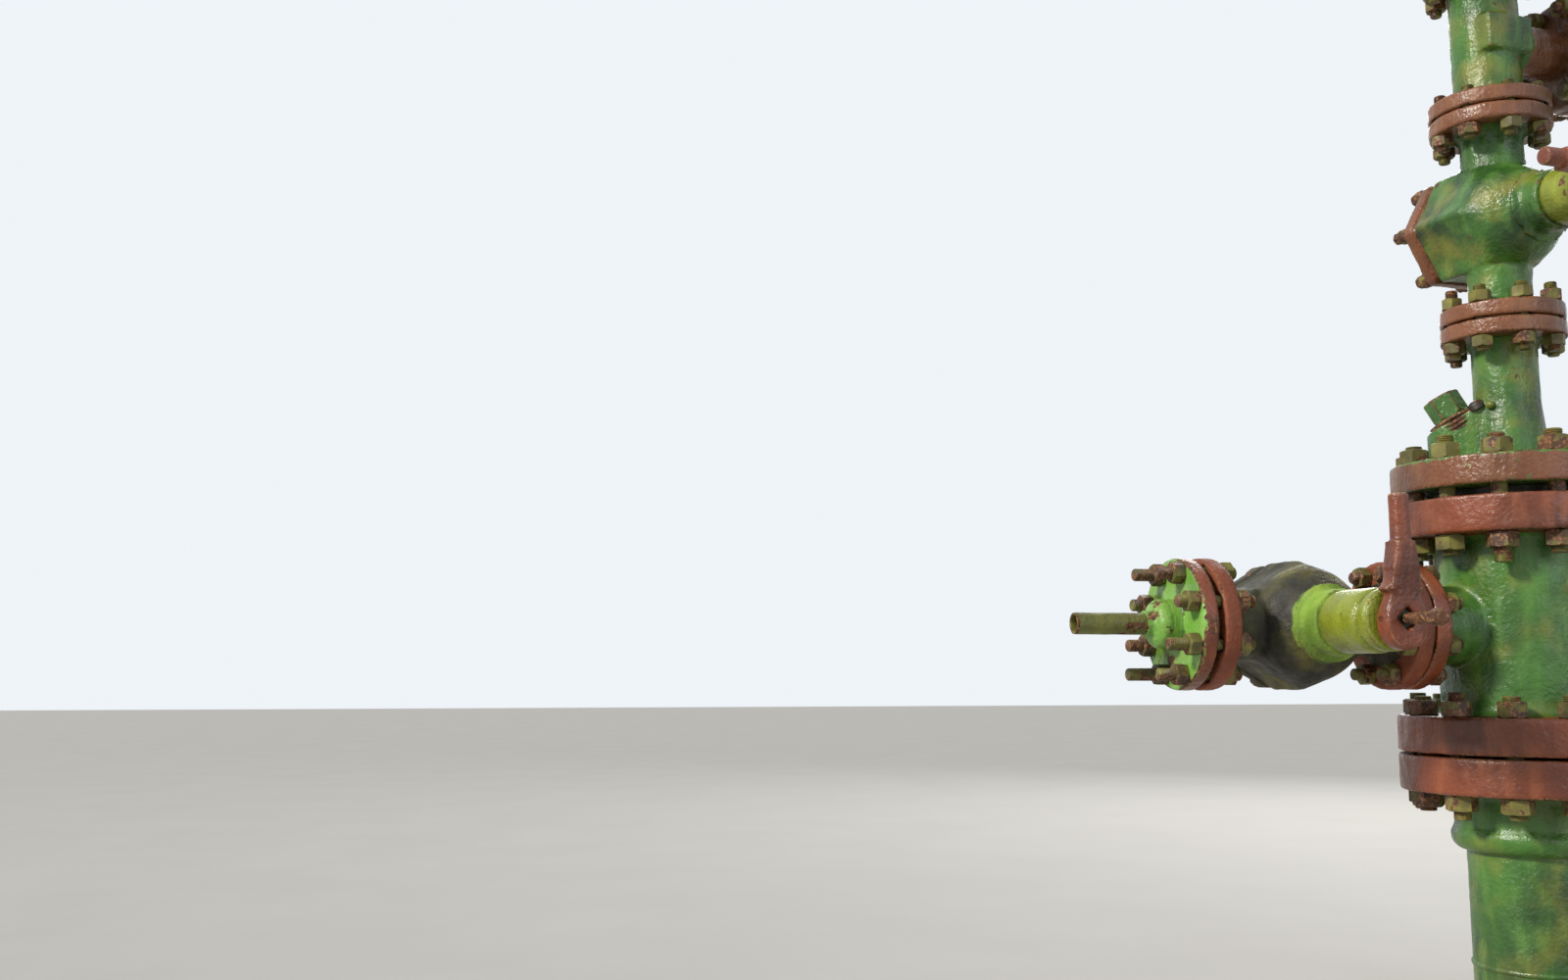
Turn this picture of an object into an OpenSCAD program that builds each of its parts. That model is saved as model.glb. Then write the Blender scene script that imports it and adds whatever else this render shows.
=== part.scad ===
// Oil wellhead: casing head, tubing head with two valved side outlets, and a
// production tree of lubricated plug valves with one wing outlet.
// Millimetres, +Z up, origin at the centre of the casing's foot.
// The left outlet runs along -X and every side valve's stem points along -Y.

/* [Casing] */
// Outer diameter of the casing pipe
casing_d = 194; // [170:1:204]
// Wall thickness of the casing pipe
casing_wall = 12; // [8:1:16]
// Height of the solid cement foot inside the pipe
foot_h = 40; // [20:5:80]
// Height of the lowest flange face above the ground
head_z = 340; // [240:5:460]
// Depth of the socket that takes the pipe
socket_depth = 50; // [30:5:80]
// Outer diameter of the casing head under its flange
hub_d = 226; // [216:1:250]
// Outer diameter of the rolled lip at the foot of the casing head
lip_d = 238; // [228:1:260]
// Length of the casing head below its flange
hub_h = 92; // [80:1:130]

/* [Main flanges] */
// Diameter of the lower pair of main flanges
low_flange_d = 380; // [370:1:400]
// Diameter of the upper pair of main flanges
up_flange_d = 364; // [352:1:380]
// Thickness of each main flange
main_t = 57; // [45:1:70]
// Thickness of the adapter's plate
plate_t = 47; // [38:1:60]
// Pitch circle of the lower main studs
low_pcd = 318; // [312:1:324]
// Pitch circle of the upper main studs
up_pcd = 304; // [298:1:308]
// Number of studs in each main pair
main_studs = 12; // [8:4:12]
// Diameter of each main stud hole
main_hole_d = 30; // [26:1:32]
// Gap that the lower seal ring keeps open
low_gap = 4; // [2:1:10]
// Gap that the upper seal ring keeps open
up_gap = 16; // [8:1:24]
// Outer diameter of both main seal rings
seal_d = 236; // [224:1:250]

/* [Tubing head] */
// Height of the tubing head's body between its flanges
spool_h = 280; // [250:5:340]
// Outer diameter of the tubing head's body
spool_d = 246; // [230:1:260]
// Main bore of the casing head and the tubing head
main_bore_d = 168; // [140:1:168]
// Distance from the well's axis to the face of a side outlet
outlet_reach = 220; // [210:1:260]
// Outer diameter of a side outlet's neck
outlet_neck_d = 124; // [100:1:132]

/* [Small flanges] */
// Diameter of each small flange on the tree
flange_d = 188; // [182:1:196]
// Pitch circle of the studs in those flanges
flange_pcd = 156; // [150:1:158]
// Diameter of each small flange on the side outlets
side_flange_d = 199; // [190:1:206]
// Pitch circle of the studs in those flanges
side_pcd = 164; // [156:1:168]
// Thickness of every small flange
flange_t = 27; // [22:1:32]
// Number of studs in each small pair
flange_studs = 8; // [4:4:8]
// Diameter of each small stud hole
flange_hole_d = 22; // [18:1:24]
// Thickness of the gasket between two small flanges
gasket_t = 2; // [1:0.5:4]
// Outer diameter of each small gasket
gasket_d = 118; // [100:1:128]
// Bore of the tree, the valves and the side outlets
bore_d = 65; // [50:1:66]

/* [Tree] */
// Angle by which the tree is turned on the tubing head
tree_turn = 7; // [-15:1:15]
// Length of the adapter's neck between plate and flange
neck_h = 201; // [180:1:260]
// Outer diameter of the adapter's neck
neck_d = 99; // [90:1:110]
// Outer diameter of the adapter's neck where it meets the plate
neck_foot_d = 118; // [112:1:122]
// Distance between the tee's upper and lower faces
tee_h = 260; // [250:1:340]
// Outer diameter of the tee's run
tee_d = 107; // [100:1:110]
// Outer diameter of the tee's outlet neck
tee_neck_d = 80; // [76:1:92]
// Width of the block on the tee's front and back
tee_block_w = 90; // [80:1:96]
// Height of that block
tee_block_h = 60; // [50:1:90]
// Distance from the tee's axis to the faces of that block
tee_block_reach = 57; // [56:1:62]
// Distance from the tee's axis to its outlet face
tee_reach = 177; // [150:1:190]

/* [Tree top] */
// Height of the hub on the top flange
top_hub_h = 34; // [24:1:60]
// Outer diameter of that hub at its top
top_hub_d = 66; // [60:1:80]
// Height of the gauge pipe above that hub
stub_h = 240; // [80:5:300]
// Outer diameter of the gauge pipe
stub_d = 46; // [38:1:56]
// Height of the cap on the gauge pipe
cap_h = 56; // [40:1:70]
// Outer diameter of that cap
cap_d = 78; // [64:1:84]

/* [Angled port] */
// Direction of the port round the well's axis
port_azimuth = 142; // [130:1:165]
// Lean of the port away from the vertical
port_tilt = 27; // [20:1:32]
// Distance of the port's axis from the neck's axis at the plate
port_offset = 39; // [38:1:44]
// Distance along the port's axis from the plate to the boss's face
port_h = 87; // [86:1:96]
// Width of the port's boss
port_d = 76; // [70:1:80]
// Distance from the neck's axis to the outer side of the boss
port_reach = 122; // [112:1:126]
// Width across flats of the port's plug
plug_hex = 52; // [44:1:53]
// Height of the plug's hexagon
plug_hex_h = 37; // [30:1:46]

/* [Plug valves] */
// Distance between the faces of a valve on the tree
valve_len = 350; // [330:1:380]
// Distance between the faces of a valve on a side outlet
side_valve_len = 342; // [330:1:380]
// Outer diameter of a valve's two necks
valve_neck_d = 97; // [94:1:110]
// Largest diameter of the valve's chamber
chamber_d = 206; // [200:1:216]
// Distance from the flow axis to the cover's joint
cover_reach = 105; // [102:1:116]
// Thickness of the cover
cover_t = 16; // [12:1:20]
// Diameter of the circle through the cover's lobes
lobe_pcd = 168; // [162:1:172]
// Radius of each lobe and of the rib behind it
lobe_r = 13; // [11:1:15]
// Number of lobes on the cover
lobes = 6; // [6:2:8]
// Outer diameter of the bonnet that carries the stem housing
bonnet_d = 98; // [94:1:104]
// Distance from the flow axis to the bonnet's face
face_reach = 130; // [120:1:140]
// Diameter of the plug at its wide end
plug_wide_d = 92; // [88:1:94]
// Diameter of the plug at its narrow end
plug_slim_d = 80; // [76:1:84]
// Radial clearance round the plug
plug_clear = 0.3; // [0.2:0.05:0.6]
// Diameter of the stem
stem_d = 34; // [30:1:38]
// Radial clearance of the stem in its bushing
stem_clear = 0.05; // [0.02:0.01:0.09]

/* [Stem housings and levers] */
// Distance from the flow axis to the end of the stem housing
housing_reach = 250; // [235:1:265]
// Diameter of the stem housing
housing_d = 92; // [86:1:94]
// Diameter of the stem housing at its end
housing_end_d = 88; // [80:1:90]
// Space between the stem housing and the lever
lever_gap = 5; // [5:0.5:9]
// Thickness of the lever's hub
hub_t = 26; // [22:1:28]
// Width of the lever's hub
hub_w = 66; // [60:1:72]
// Distance from the stem's axis to the back of the lever's hub
hub_r = 43; // [40:1:48]
// Width of the stem's square end
square_w = 24; // [18:0.5:24]
// Width of the lever's arm
arm_w = 30; // [28:1:34]
// Depth of the lever's arm along the stem
arm_t = 32; // [30:1:36]
// Length of a lever from the stem's axis to its tip
lever_len = 172; // [150:1:240]
// Distance from the stem's axis to the end of a lever's socket
socket_out = 106; // [96:1:120]
// Length of the master valve's lever
master_lever_len = 180; // [170:1:240]
// Distance from the stem's axis to the end of that lever's socket
master_socket_out = 146; // [120:1:150]
// Diameter of the lever's bar
bar_d = 27; // [22:1:28]
// Length of the grease screw beyond the lever's hub
screw_reach = 74; // [50:1:90]
// Diameter of the grease screw's shank
screw_d = 16; // [12:1:18]
// Diameter of the grease screw's head
screw_head_d = 24; // [20:1:28]

/* [End pieces] */
// Thickness of a blind flange's disc
blind_t = 24; // [20:1:30]
// Outer diameter of the boss on a blind flange
boss_d = 74; // [64:1:84]
// Height of that boss
boss_h = 26; // [18:1:34]
// Outer diameter of the nipple
nipple_d = 33; // [30:1:44]
// Length of the nipple beyond its boss
nipple_len = 135; // [90:5:160]
// Gap that the gasket under a blind flange keeps open
end_gap = 10; // [2:1:14]
// Bore of the nipple
nipple_bore_d = 24; // [18:1:26]

/* [Hidden] */
$fn = 64;
eps = 0.5;
edge = 2;
loose = 0.3;
curve_steps = 8;

low_disc_top = head_z + main_t;
spool_z = low_disc_top + low_gap;
body_z = spool_z + main_t;
branch_z = body_z + spool_h / 2;
up_disc_z = body_z + spool_h;
spool_top = up_disc_z + main_t;
plate_z = spool_top + up_gap;
neck_z = plate_z + plate_t;
adapter_top = neck_z + neck_h + flange_t;
master_z = adapter_top + gasket_t + valve_len / 2;
tee_z = master_z + valve_len / 2 + gasket_t + tee_h / 2;
upper_valve_z = tee_z + tee_h / 2 + gasket_t + valve_len / 2;
top_flange_z = upper_valve_z + valve_len / 2 + gasket_t;
branch_valve_x = outlet_reach + gasket_t + side_valve_len / 2;
branch_end_x = branch_valve_x + side_valve_len / 2 + end_gap;
wing_valve_x = tee_reach + gasket_t + valve_len / 2;

low_phase = 180 / main_studs;
small_phase = 180 / flange_studs;
pipe_bore_d = casing_d - 2 * casing_wall;
seal_bore_d = main_bore_d + 22;
outlet_fillet = 14;

spigot_len = 44;
plug_back = cover_reach - spigot_len;
plug_front = bore_d / 2 + 18;
wall_front = plug_front + 3;
spigot_d = plug_wide_d + 8;
spigot_play = 1;
relief_d = stem_d + 3;
bushing_len = 40;
lever_in = housing_reach + lever_gap;
lever_out = lever_in + hub_t;
stem_end = lever_in - 2;
square_end = lever_out - 10;
square_play = 0.3;
socket_in = 68;
groove_depth = 3;
wide_groove_w = 9;
first_groove = housing_reach - 32;
second_groove = housing_reach - 10;
groove_w = 5;

green = [0.23, 0.5, 0.18];
dark_olive = [0.2, 0.2, 0.14];
oxide_red = [0.55, 0.24, 0.16];
rust = [0.4, 0.28, 0.16];
lime = [0.5, 0.55, 0.16];
steel = [0.5, 0.48, 0.44];

// Points of an elliptic arc, from angle a0 to a1, in the (radius, height) plane
function arc(centre, rx, ry, a0, a1, n = curve_steps) =
    [for (i = [0:n]) let (a = a0 + (a1 - a0) * i / n)
        [centre[0] + rx * cos(a), centre[1] + ry * sin(a)]];

// Solid disc with broken edges, standing on z = 0
module disc(d, t) {
    rotate_extrude()
        polygon([[0, 0], [d / 2 - edge, 0], [d / 2, edge], [d / 2, t - edge],
            [d / 2 - edge, t], [0, t]]);
}

// Ring with plain faces, standing on z = 0
module ring(d, bore, t) {
    difference() {
        cylinder(d = d, h = t);
        translate([0, 0, -eps]) cylinder(d = bore, h = t + 2 * eps);
    }
}

// Cutters for a circle of stud holes, from z = 0 up
module stud_holes(pcd, count, d, h, phase) {
    for (i = [0:count - 1])
        rotate([0, 0, phase + i * 360 / count])
            translate([pcd / 2, 0, -eps]) cylinder(d = d, h = h + 2 * eps);
}

module small_holes(h, pcd = flange_pcd) {
    stud_holes(pcd, flange_studs, flange_hole_d, h, small_phase);
}

// Turns what is made along +Z so that it points along +X or -X
module along_x(side) {
    rotate([0, 90 * side, 0]) children();
}

module turned() {
    rotate([0, 0, tree_turn]) children();
}

module casing_pipe() {
    color(green) difference() {
        cylinder(d = casing_d, h = head_z - hub_h + socket_depth);
        translate([0, 0, foot_h]) cylinder(d = pipe_bore_d, h = head_z);
    }
}

module casing_head() {
    foot = head_z - hub_h;
    lip_r = (lip_d - casing_d) / 2;
    color(green) difference() {
        union() {
            translate([0, 0, head_z]) disc(low_flange_d, main_t);
            rotate_extrude()
                polygon(concat([[0, foot]],
                    arc([casing_d / 2 + 1, foot + lip_r], lip_r - 1, lip_r, -90, 0),
                    [[lip_d / 2, foot + lip_r + 6], [hub_d / 2, foot + lip_r + 18],
                        [hub_d / 2, head_z - 10], [hub_d / 2 + 10, head_z],
                        [hub_d / 2 + 10, head_z + eps], [0, head_z + eps]]));
        }
        translate([0, 0, foot - eps]) cylinder(d = casing_d + 2 * loose, h = socket_depth + eps);
        translate([0, 0, foot]) cylinder(d = main_bore_d, h = hub_h + main_t + eps);
        translate([0, 0, head_z]) stud_holes(low_pcd, main_studs, main_hole_d, main_t, low_phase);
    }
}

module lower_seal_ring() {
    color(steel) translate([0, 0, low_disc_top]) ring(seal_d, seal_bore_d, low_gap);
}

module upper_seal_ring() {
    color(steel) translate([0, 0, spool_top]) ring(seal_d, seal_bore_d, up_gap);
}

// One side outlet of the tubing head, along +Z from the well's axis
module side_outlet() {
    rotate_extrude()
        polygon(concat([[0, 0], [outlet_neck_d / 2, 0]],
            arc([outlet_neck_d / 2 + outlet_fillet, outlet_reach - flange_t - outlet_fillet],
                outlet_fillet, outlet_fillet, 180, 90),
            [[0, outlet_reach - flange_t]]));
    translate([0, 0, outlet_reach - flange_t]) disc(side_flange_d, flange_t);
}

module tubing_head() {
    r = spool_d / 2;
    fillet = 18;
    color(green) difference() {
        union() {
            translate([0, 0, spool_z]) disc(low_flange_d, main_t);
            translate([0, 0, up_disc_z]) disc(up_flange_d, main_t);
            rotate_extrude()
                polygon(concat([[0, body_z - eps]],
                    arc([r + fillet, body_z + fillet], fillet, fillet, 270, 180),
                    arc([r + fillet, up_disc_z - fillet], fillet, fillet, 180, 90),
                    [[0, up_disc_z + eps]]));
            for (side = [-1, 1])
                translate([0, 0, branch_z]) along_x(side) side_outlet();
        }
        translate([0, 0, spool_z - eps]) cylinder(d = main_bore_d, h = spool_top - spool_z + 2 * eps);
        for (side = [-1, 1])
            translate([0, 0, branch_z]) along_x(side) {
                cylinder(d = bore_d, h = outlet_reach + eps);
                translate([0, 0, outlet_reach - flange_t]) small_holes(flange_t, side_pcd);
            }
        translate([0, 0, spool_z]) stud_holes(low_pcd, main_studs, main_hole_d, main_t, low_phase);
        translate([0, 0, up_disc_z]) stud_holes(up_pcd, main_studs, main_hole_d, main_t, low_phase);
    }
}

// Places the angled port's own frame: z = 0 on the plate, +Z along its axis
module at_port() {
    rotate([0, 0, port_azimuth]) translate([port_offset, 0, neck_z])
        rotate([0, port_tilt, 0]) children();
}

// Boss of the angled port, upright on the plate and cut square to the port's axis
module port_boss() {
    centre = port_reach - port_d / 2;
    tall = 2 * port_h;
    difference() {
        rotate([0, 0, port_azimuth]) translate([0, 0, neck_z - eps]) {
            translate([centre, 0, 0]) cylinder(d = port_d, h = tall);
            translate([0, -port_d / 2, 0]) cube([centre, port_d, tall]);
        }
        at_port() translate([-tall, -tall, port_h]) cube(2 * tall);
    }
}

module tree_adapter() {
    flare_h = 0.5 * neck_h;
    color(green) difference() {
        union() {
            translate([0, 0, plate_z]) disc(up_flange_d, plate_t);
            rotate_extrude()
                polygon([[0, neck_z - eps], [neck_foot_d / 2, neck_z - eps], [neck_foot_d / 2, neck_z + 8],
                    [neck_d / 2, neck_z + flare_h], [neck_d / 2, neck_z + neck_h - 12],
                    [neck_d / 2 + 10, neck_z + neck_h + eps], [0, neck_z + neck_h + eps]]);
            translate([0, 0, neck_z + neck_h]) disc(flange_d, flange_t);
            port_boss();
        }
        translate([0, 0, plate_z - eps]) cylinder(d = bore_d, h = adapter_top - plate_z + 2 * eps);
        translate([0, 0, plate_z]) stud_holes(up_pcd, main_studs, main_hole_d, plate_t, low_phase);
        turned() translate([0, 0, neck_z + neck_h]) small_holes(flange_t);
    }
}

module port_plug() {
    thread_d = plug_hex + 2;
    thread_h = 9;
    color(rust) at_port() translate([0, 0, port_h]) {
        cylinder(d = thread_d, h = thread_h);
        translate([0, 0, thread_h]) intersection() {
            cylinder(d = plug_hex / cos(30), h = plug_hex_h, $fn = 6);
            disc(plug_hex / cos(30) - 1, plug_hex_h);
        }
    }
}

module tree_tee() {
    color(green) turned() translate([0, 0, tee_z]) difference() {
        union() {
            cylinder(d = tee_d, h = tee_h - flange_t, center = true);
            for (side = [0, 1])
                mirror([0, 0, side]) translate([0, 0, tee_h / 2 - flange_t]) {
                    disc(flange_d, flange_t);
                    translate([0, 0, -12])
                        cylinder(d1 = tee_d, d2 = tee_d + 20, h = 12 + eps);
                }
            cube([tee_block_w, 2 * tee_block_reach, tee_block_h], center = true);
            along_x(1) {
                cylinder(d = tee_neck_d, h = tee_reach - flange_t);
                translate([0, 0, tee_reach - flange_t]) disc(flange_d, flange_t);
            }
        }
        cylinder(d = bore_d, h = tee_h + 2 * eps, center = true);
        along_x(1) {
            cylinder(d = bore_d, h = tee_reach + eps);
            translate([0, 0, tee_reach - flange_t]) small_holes(flange_t);
        }
        for (side = [-1, 1])
            translate([0, 0, side * (tee_h - flange_t) / 2 - flange_t / 2]) small_holes(flange_t);
    }
}

// Gasket between two small flanges, standing on z = 0
module gasket(t = gasket_t) {
    ring(gasket_d, bore_d, t);
}

module gaskets() {
    color(steel) {
        for (side = [-1, 1])
            translate([0, 0, branch_z]) along_x(side) {
                translate([0, 0, outlet_reach]) gasket();
                translate([0, 0, branch_end_x - end_gap]) gasket(end_gap);
            }
        for (z = [adapter_top, master_z + valve_len / 2, tee_z + tee_h / 2, top_flange_z - gasket_t])
            translate([0, 0, z]) gasket();
        turned() translate([0, 0, tee_z]) along_x(1) translate([0, 0, tee_reach]) gasket();
    }
}

// Blind flange with a domed boss, its inner face on z = 0
module blind_flange() {
    dome = 8;
    color(green) difference() {
        union() {
            disc(side_flange_d, blind_t);
            rotate_extrude()
                polygon(concat([[0, 0], [boss_d / 2, 0]],
                    arc([boss_d / 2 - dome, blind_t + boss_h - dome], dome, dome, 0, 90),
                    [[0, blind_t + boss_h]]));
        }
        small_holes(blind_t, side_pcd);
        translate([0, 0, -eps]) cylinder(d = nipple_bore_d, h = blind_t + boss_h + 2 * eps);
    }
}

module nipple() {
    color(lime) translate([0, 0, blind_t + boss_h]) ring(nipple_d, nipple_bore_d, nipple_len);
}

module at_branch_end(side) {
    translate([0, 0, branch_z]) along_x(side) translate([0, 0, branch_end_x]) children();
}

module left_blind_flange() { at_branch_end(-1) blind_flange(); }
module left_nipple() { at_branch_end(-1) nipple(); }
module right_blind_flange() { at_branch_end(1) blind_flange(); }
module right_nipple() { at_branch_end(1) nipple(); }

module top_flange() {
    color(green) turned() translate([0, 0, top_flange_z]) difference() {
        union() {
            disc(flange_d, flange_t);
            translate([0, 0, flange_t - eps])
                cylinder(d1 = top_hub_d + 24, d2 = top_hub_d, h = top_hub_h / 2 + eps);
            cylinder(d = top_hub_d, h = flange_t + top_hub_h);
        }
        small_holes(flange_t);
        translate([0, 0, -eps]) cylinder(d = bore_d, h = flange_t);
    }
}

module gauge_pipe() {
    color(green) translate([0, 0, top_flange_z + flange_t + top_hub_h]) {
        cylinder(d = stub_d, h = stub_h + eps);
        translate([0, 0, stub_h]) disc(cap_d, cap_h);
    }
}

// A valve's own frame: flow along Z, stem along -Y, cover on +Y, lever along -X when shut.
// Turns what is made along +Z so that it points along the stem.
module along_stem() {
    rotate([90, 0, 0]) children();
}

// Six or eight cylinders through the cover's lobes, standing on z = 0
module lobe_columns(h) {
    for (i = [0:lobes - 1])
        rotate([0, 0, i * 360 / lobes]) translate([lobe_pcd / 2, 0, 0]) cylinder(r = lobe_r, h = h);
}

// Tapered plug, or its seat in the body when it is made larger by a clearance
module plug_cone(clear, back, front) {
    slope = (plug_wide_d - plug_slim_d) / 2 / (plug_back + plug_front);
    translate([0, 0, -back])
        cylinder(r1 = plug_wide_d / 2 + clear + slope * (back - plug_back),
            r2 = plug_slim_d / 2 + clear - slope * (front - plug_front), h = back + front);
}

module valve_body(paint, len = valve_len, rim_d = flange_d, pcd = flange_pcd) {
    belly = 10;
    dome_h = 85;
    fillet = 10;
    rim_r = lobe_pcd / 2 - 6;
    bonnet_r = bonnet_d / 2;
    color(paint) difference() {
        union() {
            cylinder(d = valve_neck_d, h = len - flange_t, center = true);
            for (side = [0, 1])
                mirror([0, 0, side]) translate([0, 0, len / 2 - flange_t]) {
                    disc(rim_d, flange_t);
                    translate([0, 0, -12])
                        cylinder(d1 = valve_neck_d, d2 = valve_neck_d + 22, h = 12 + eps);
                }
            along_stem() {
                rotate_extrude()
                    polygon(concat([[0, face_reach], [bonnet_r, face_reach]],
                        arc([bonnet_r + fillet, belly + dome_h + fillet - 1], fillet, fillet, 180, 270),
                        arc([bonnet_r, belly], chamber_d / 2 - bonnet_r, dome_h, 78, 0),
                        [[chamber_d / 2, -belly], [chamber_d / 2 - 4, -0.4 * cover_reach],
                            [rim_r, fillet / 2 - cover_reach], [rim_r, -cover_reach],
                            [0, -cover_reach]]));
                translate([0, 0, -cover_reach]) lobe_columns(cover_reach - belly);
            }
        }
        cylinder(d = bore_d, h = len + 2 * eps, center = true);
        for (side = [-1, 1])
            translate([0, 0, side * (len - flange_t) / 2 - flange_t / 2]) small_holes(flange_t, pcd);
        along_stem() {
            plug_cone(plug_clear, plug_back + spigot_play, wall_front);
            translate([0, 0, -cover_reach - eps])
                cylinder(d = spigot_d, h = spigot_len + eps);
            cylinder(d = relief_d, h = face_reach + eps);
        }
    }
}

module side_valve_body(paint) {
    valve_body(paint, side_valve_len, side_flange_d, side_pcd);
}

module valve_cover() {
    boss = 62;
    boss_t = 12;
    nut_w = 36;
    nut_t = 14;
    proud = 1;
    color(rust) along_stem() translate([0, 0, -cover_reach - cover_t]) {
        translate([0, 0, proud])
            cylinder(r = lobe_pcd / 2 - 4, h = cover_t - 2 * proud, $fn = lobes);
        lobe_columns(cover_t);
        translate([0, 0, -boss_t]) cylinder(d1 = boss - 8, d2 = boss, h = boss_t + proud + eps);
        translate([0, 0, -boss_t - nut_t]) cylinder(d = nut_w / cos(30), h = nut_t + eps, $fn = 6);
        cylinder(d = spigot_d - 2 * loose, h = cover_t + spigot_len - spigot_play);
    }
}

module stem_housing() {
    root = housing_d / 2;
    tip = housing_end_d / 2;
    color(lime) along_stem() difference() {
        rotate_extrude()
            polygon([[0, face_reach], [root - groove_depth, face_reach],
                [root - groove_depth, face_reach + groove_w], [root, face_reach + groove_w + 1],
                [root, first_groove - 6], [tip, first_groove], [tip - groove_depth, first_groove + 1],
                [tip - groove_depth, first_groove + wide_groove_w],
                [tip, first_groove + wide_groove_w + 1], [tip, second_groove],
                [tip - groove_depth, second_groove + 1], [tip - groove_depth, second_groove + groove_w],
                [tip, second_groove + groove_w + 1], [tip, housing_reach - 2],
                [tip - 2, housing_reach], [0, housing_reach]]);
        translate([0, 0, face_reach - eps])
            cylinder(d = relief_d, h = housing_reach - face_reach - bushing_len + eps);
        cylinder(d = stem_d + 2 * stem_clear, h = housing_reach + eps);
    }
}

module plug_and_stem() {
    color(steel) along_stem() {
        difference() {
            plug_cone(0, plug_back, plug_front);
            rotate([0, 90, 0]) cylinder(d = bore_d, h = chamber_d, center = true);
        }
        translate([0, 0, plug_front - eps]) cylinder(d = stem_d, h = stem_end - plug_front + eps);
        rotate([0, 0, 45]) translate([-square_w / 2, -square_w / 2, stem_end - eps])
            cube([square_w, square_w, square_end - stem_end + eps]);
    }
}

// Bevelled bar of a lever, between two distances from the stem's axis
module lever_bar(w, from, to) {
    translate([-to, 0, 0]) rotate([90, 0, 90]) linear_extrude(to - from)
        polygon([[edge - w / 2, 0], [w / 2 - edge, 0], [w / 2, edge], [w / 2, arm_t - 2 * edge],
            [w / 2 - 2 * edge, arm_t], [2 * edge - w / 2, arm_t], [-w / 2, arm_t - 2 * edge],
            [-w / 2, edge]]);
}

module lever(reach = lever_len, socket_end = socket_out) {
    drop = hub_r - hub_w / 2;
    bevel = 4;
    flare = 50;
    neck_w = arm_w - 2;
    lean = asin((hub_w - neck_w) / 2 / flare);
    hole = square_w + 2 * square_play;
    side = [[hub_w / 2 - edge, 0], [hub_w / 2, edge], [hub_w / 2, hub_t - 2 * bevel],
        [hub_w / 2 - bevel, hub_t]];
    color(oxide_red) along_stem() translate([0, 0, lever_in]) difference() {
        union() {
            for (x = [0, drop])
                translate([x, 0, 0]) rotate_extrude() polygon(concat([[0, 0]], side, [[0, hub_t]]));
            rotate([90, 0, 90]) linear_extrude(drop)
                polygon(concat(side, [for (i = [3:-1:0]) [-side[i][0], side[i][1]]]));
            translate([0, 0, edge]) linear_extrude(hub_t - edge - bevel)
                polygon([[-sin(lean) * hub_w / 2, cos(lean) * hub_w / 2], [-flare, neck_w / 2],
                    [-flare, -neck_w / 2], [-sin(lean) * hub_w / 2, -cos(lean) * hub_w / 2]]);
            lever_bar(neck_w, hub_w / 2 - bevel, socket_in + eps);
            lever_bar(arm_w, socket_in, socket_end);
            translate([-socket_end + eps, 0, arm_t / 2]) rotate([0, -90, 0])
                disc(bar_d, reach - socket_end + eps);
        }
        rotate([0, 0, 45]) translate([-hole / 2, -hole / 2, -eps]) cube([hole, hole, arm_t + 2 * eps]);
    }
}

module grease_screw() {
    head_h = 18;
    color(rust) along_stem() {
        translate([0, 0, square_end]) cylinder(d = screw_d, h = lever_out + screw_reach - square_end);
        translate([0, 0, lever_out + screw_reach - head_h]) disc(screw_head_d, head_h);
    }
}

// Places of the five valves
module at_left_valve() {
    translate([-branch_valve_x, 0, branch_z]) rotate([0, 90, 0]) children();
}

module at_right_valve() {
    translate([branch_valve_x, 0, branch_z]) rotate([0, 90, 0]) children();
}

module at_master_valve() { turned() translate([0, 0, master_z]) children(); }
module at_wing_valve() {
    turned() translate([wing_valve_x, 0, tee_z]) rotate([0, 90, 0]) children();
}
module at_upper_valve() { turned() translate([0, 0, upper_valve_z]) children(); }

module left_valve_body() { at_left_valve() side_valve_body(dark_olive); }
module left_valve_cover() { at_left_valve() valve_cover(); }
module left_stem_housing() { at_left_valve() stem_housing(); }
module left_plug() { at_left_valve() plug_and_stem(); }
module left_lever() { at_left_valve() lever(); }
module left_grease_screw() { at_left_valve() grease_screw(); }

module right_valve_body() { at_right_valve() side_valve_body(green); }
module right_valve_cover() { at_right_valve() valve_cover(); }
module right_stem_housing() { at_right_valve() stem_housing(); }
module right_plug() { at_right_valve() plug_and_stem(); }
module right_lever() { at_right_valve() lever(); }
module right_grease_screw() { at_right_valve() grease_screw(); }

module master_valve_body() { at_master_valve() valve_body(green); }
module master_valve_cover() { at_master_valve() valve_cover(); }
module master_stem_housing() { at_master_valve() stem_housing(); }
module master_plug() { at_master_valve() plug_and_stem(); }
module master_lever() { at_master_valve() lever(master_lever_len, master_socket_out); }
module master_grease_screw() { at_master_valve() grease_screw(); }

module wing_valve_body() { at_wing_valve() valve_body(green); }
module wing_valve_cover() { at_wing_valve() valve_cover(); }
module wing_stem_housing() { at_wing_valve() stem_housing(); }
module wing_plug() { at_wing_valve() plug_and_stem(); }
module wing_lever() { at_wing_valve() lever(); }
module wing_grease_screw() { at_wing_valve() grease_screw(); }

module upper_valve_body() { at_upper_valve() valve_body(green); }
module upper_valve_cover() { at_upper_valve() valve_cover(); }
module upper_stem_housing() { at_upper_valve() stem_housing(); }
module upper_plug() { at_upper_valve() plug_and_stem(); }
module upper_lever() { at_upper_valve() lever(); }
module upper_grease_screw() { at_upper_valve() grease_screw(); }

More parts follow.
